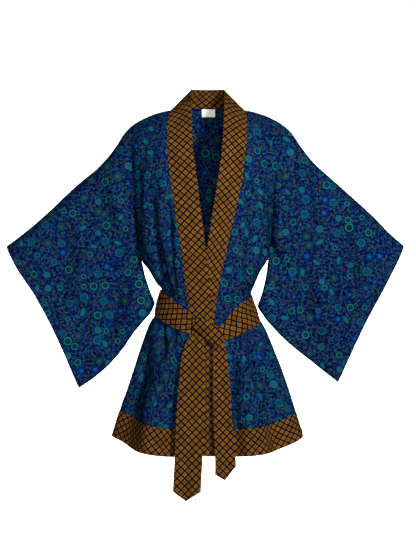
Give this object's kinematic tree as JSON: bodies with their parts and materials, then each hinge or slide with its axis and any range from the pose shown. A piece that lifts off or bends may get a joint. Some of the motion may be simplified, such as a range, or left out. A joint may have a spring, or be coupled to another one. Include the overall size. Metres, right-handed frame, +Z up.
{
  "type": "kimono robe",
  "caption": "Short kimono robe in navy floral cloth with wide open sleeves, a wrap front, gold lattice neck band and hem band, and a sash half-knotted in front.",
  "frame": {"origin": "between the shoulders at the level of the neck's sides, where the wearer holds the robe up", "axes": "+X to the viewer's right, which is the wearer's left; -Y out of the robe's front; +Z up"},
  "size_m": [0.9927, 0.3046, 1.0085],
  "materials": {
    "floral": "soft matt woven cloth, navy with a teal and blue floral print",
    "lattice": "soft matt woven cloth, gold with a dark diagonal lattice print",
    "label": "white satin ribbon, blank"
  },
  "bodies": {
    "root": {"back": "floral", "front_right": "floral", "front_left": "floral", "sleeve_right_front": "floral", "sleeve_right_back": "floral", "sleeve_left_front": "floral", "sleeve_left_back": "floral", "neck_band_right": "lattice", "neck_band_back_right": "lattice", "neck_band_back_left": "lattice", "neck_band_left": "lattice", "hem_band_back": "lattice", "hem_band_right": "lattice", "hem_band_left": "lattice", "sash_waist": "lattice", "sash_knot": "lattice", "sash_end_long": "lattice", "sash_end_short": "lattice", "label": "label"}
  },
  "joints": []
}
